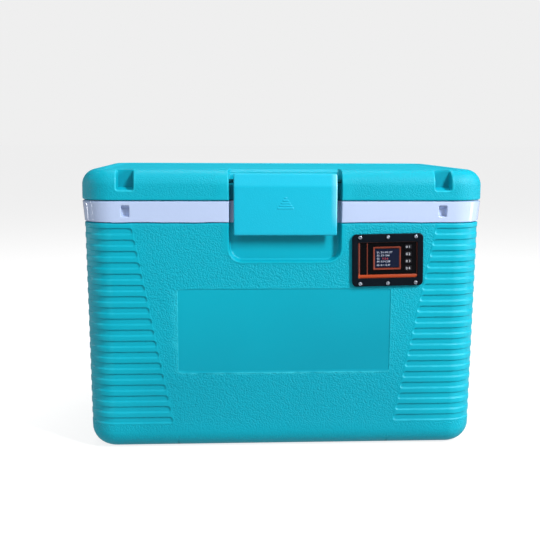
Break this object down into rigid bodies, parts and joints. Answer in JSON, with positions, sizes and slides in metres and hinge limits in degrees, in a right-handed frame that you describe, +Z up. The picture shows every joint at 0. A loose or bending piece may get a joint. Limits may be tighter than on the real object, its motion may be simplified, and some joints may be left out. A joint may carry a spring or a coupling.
{
  "type": "vaccine carrier",
  "caption": "Insulated cold box for vaccines with a hinged plug lid, a wide front latch, end grips and a temperature recorder set in the front wall.",
  "frame": {"origin": "on the floor, at the middle of the body's flat bottom", "axes": "+Z up, +X to the right along the front, +Y from the front to the back"},
  "size_m": [0.6, 0.4132, 0.422],
  "materials": {
    "teal_shell": "grained teal polyethylene",
    "teal_latch": "smooth satin teal",
    "white_liner": "glossy white polyethylene",
    "foam": "rigid foam",
    "rubber": "soft rubber",
    "bezel_black": "satin black",
    "case_orange": "satin orange",
    "face_black": "gloss black",
    "screen": "lit screen under glass",
    "board_green": "solder mask",
    "battery_grey": "foil pouch",
    "steel": "brushed stainless steel",
    "key_black": "matt black"
  },
  "bodies": {
    "box": {"outer_shell": "teal_shell", "inner_liner": "white_liner", "box_foam": "foam", "bezel_seal": "rubber", "probe_grommet": "rubber", "display_bezel": "bezel_black", "recorder_case": "case_orange", "lcd_frame": "case_orange", "recorder_face": "face_black", "lcd_screen": "screen", "circuit_board": "board_green", "key_switches": "key_black", "battery": "battery_grey", "temperature_probe": "steel", "bezel_screws": "steel", "box_hinge_leaf_left": "steel", "box_hinge_leaf_right": "steel"},
    "lid": {"lid_shell": "teal_shell", "lid_liner": "white_liner", "lid_gasket": "rubber", "lid_foam": "foam", "latch_pin": "steel", "lid_hinge_leaf_left": "steel", "lid_hinge_leaf_right": "steel", "hinge_pin_left": "steel", "hinge_pin_right": "steel"},
    "latch": {"latch_plate": "teal_latch"},
    "key_1": {"button_1": "key_black"},
    "key_2": {"button_2": "key_black"},
    "key_3": {"button_3": "key_black"},
    "key_4": {"button_4": "key_black"}
  },
  "joints": [
    {"name": "lid_hinge", "type": "hinge", "parent": "box", "child": "lid", "pos_m": [0, 0.205, 0.3765], "axis": [-1, 0, 0], "range_deg": [0, 105]},
    {"name": "latch_pivot", "type": "hinge", "parent": "lid", "child": "latch", "pos_m": [0, -0.191, 0.405], "axis": [-1, 0, 0], "range_deg": [0, 105]},
    {"name": "key_1_press", "type": "slide", "parent": "box", "child": "key_1", "axis": [0, 0.9999, 0.0164], "range_m": [0, 0.0008], "stiffness_N_per_m": 1500},
    {"name": "key_2_press", "type": "slide", "parent": "box", "child": "key_2", "axis": [0, 0.9999, 0.0164], "range_m": [0, 0.0008], "stiffness_N_per_m": 1500},
    {"name": "key_3_press", "type": "slide", "parent": "box", "child": "key_3", "axis": [0, 0.9999, 0.0164], "range_m": [0, 0.0008], "stiffness_N_per_m": 1500},
    {"name": "key_4_press", "type": "slide", "parent": "box", "child": "key_4", "axis": [0, 0.9999, 0.0164], "range_m": [0, 0.0008], "stiffness_N_per_m": 1500}
  ]
}
